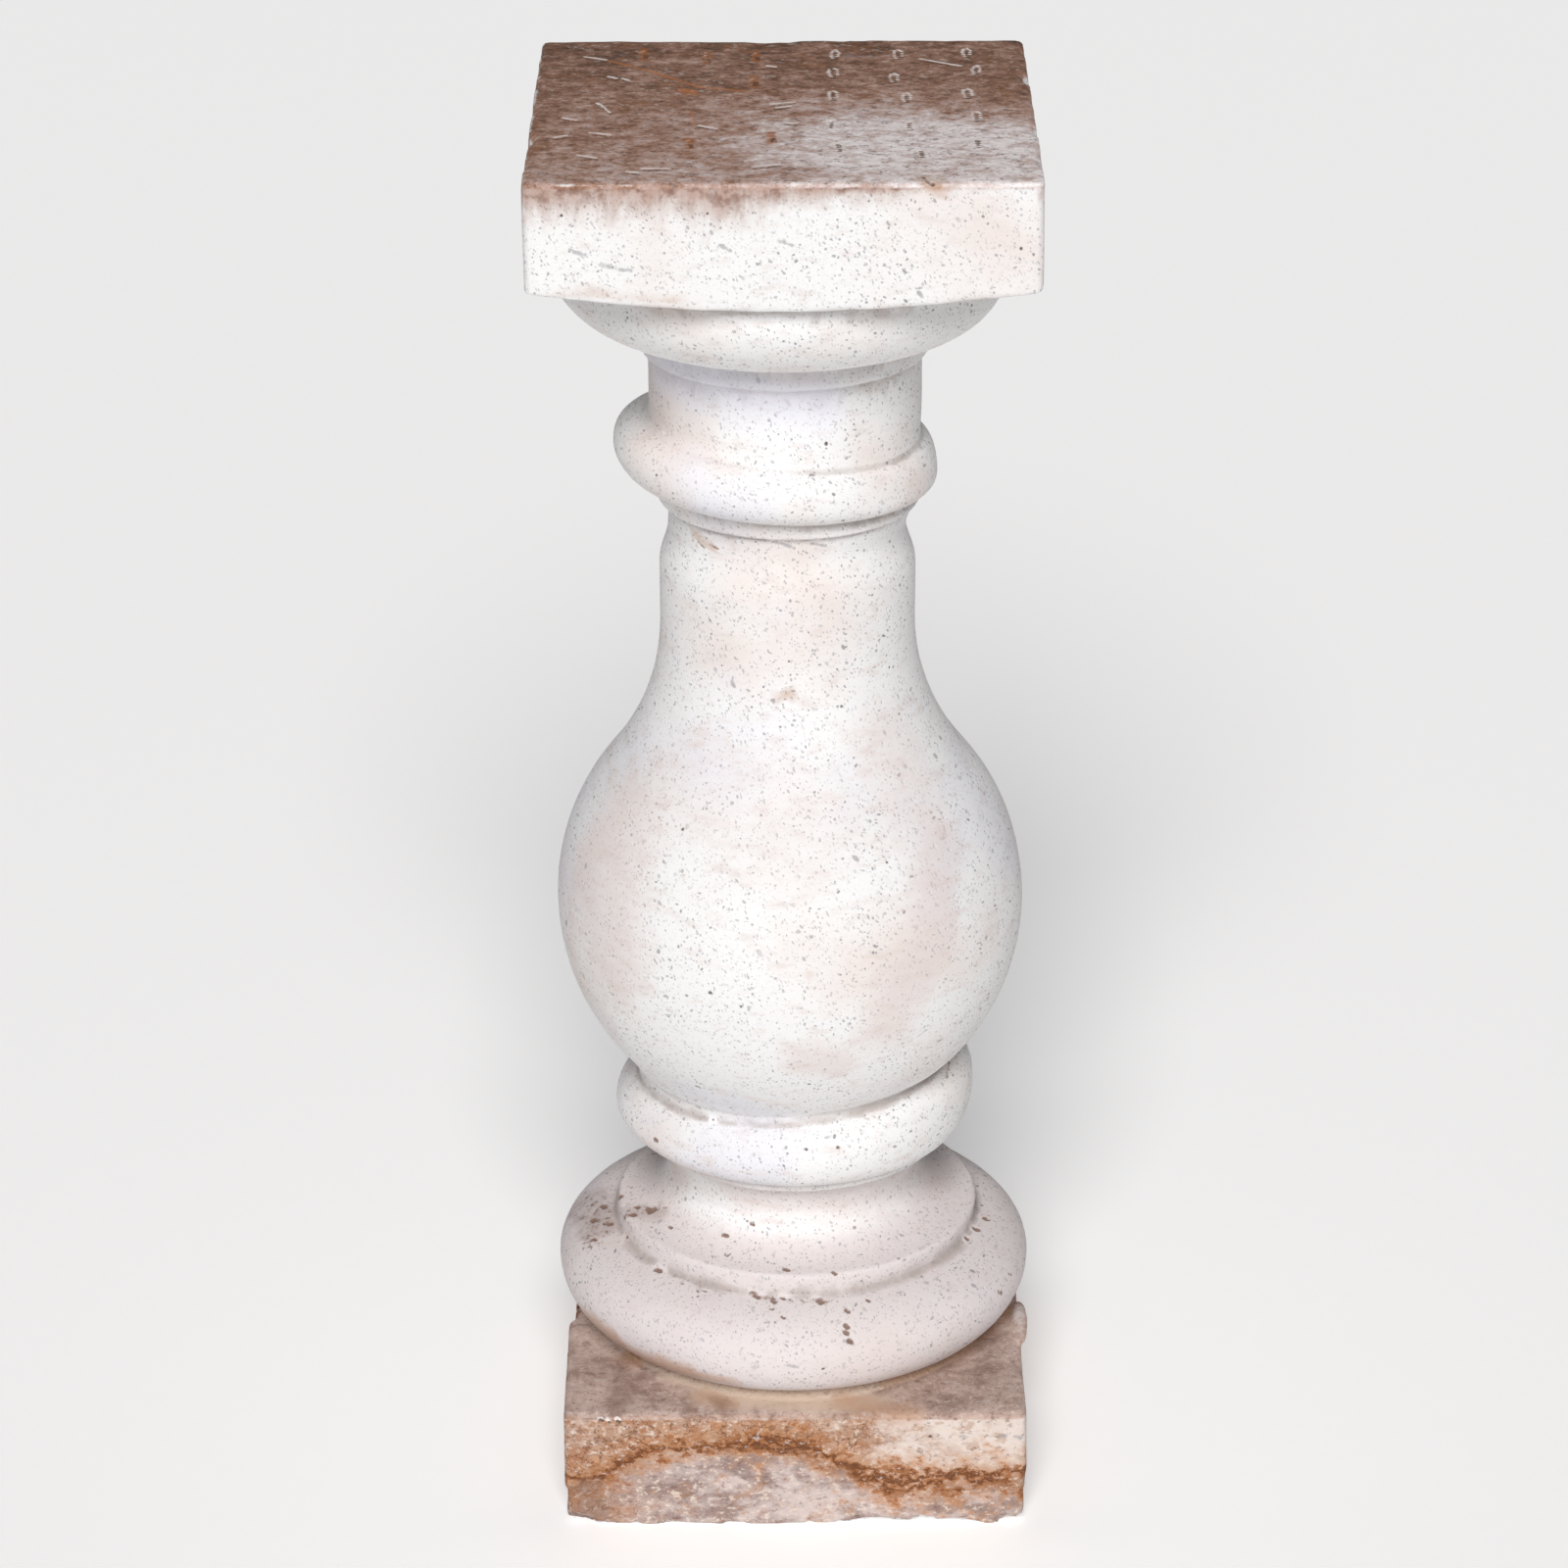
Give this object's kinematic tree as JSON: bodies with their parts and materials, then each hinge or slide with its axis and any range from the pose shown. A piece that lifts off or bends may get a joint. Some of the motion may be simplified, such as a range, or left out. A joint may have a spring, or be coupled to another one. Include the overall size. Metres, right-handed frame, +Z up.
{
  "type": "cast stone baluster pedestal",
  "caption": "Weathered cast stone baluster pedestal: a turned vase shaft with ring mouldings between a square cap and a square foot block.",
  "frame": {"origin": "middle of the bounding box at ground level, under the foot block", "axes": "+Z up the shaft, -Y toward the face that the picture shows, +X to the right in the picture"},
  "size_m": [0.2418, 0.2404, 0.7031],
  "materials": {
    "stone": "matt, dry, weathered"
  },
  "bodies": {
    "root": {"baluster": "stone"}
  },
  "joints": []
}
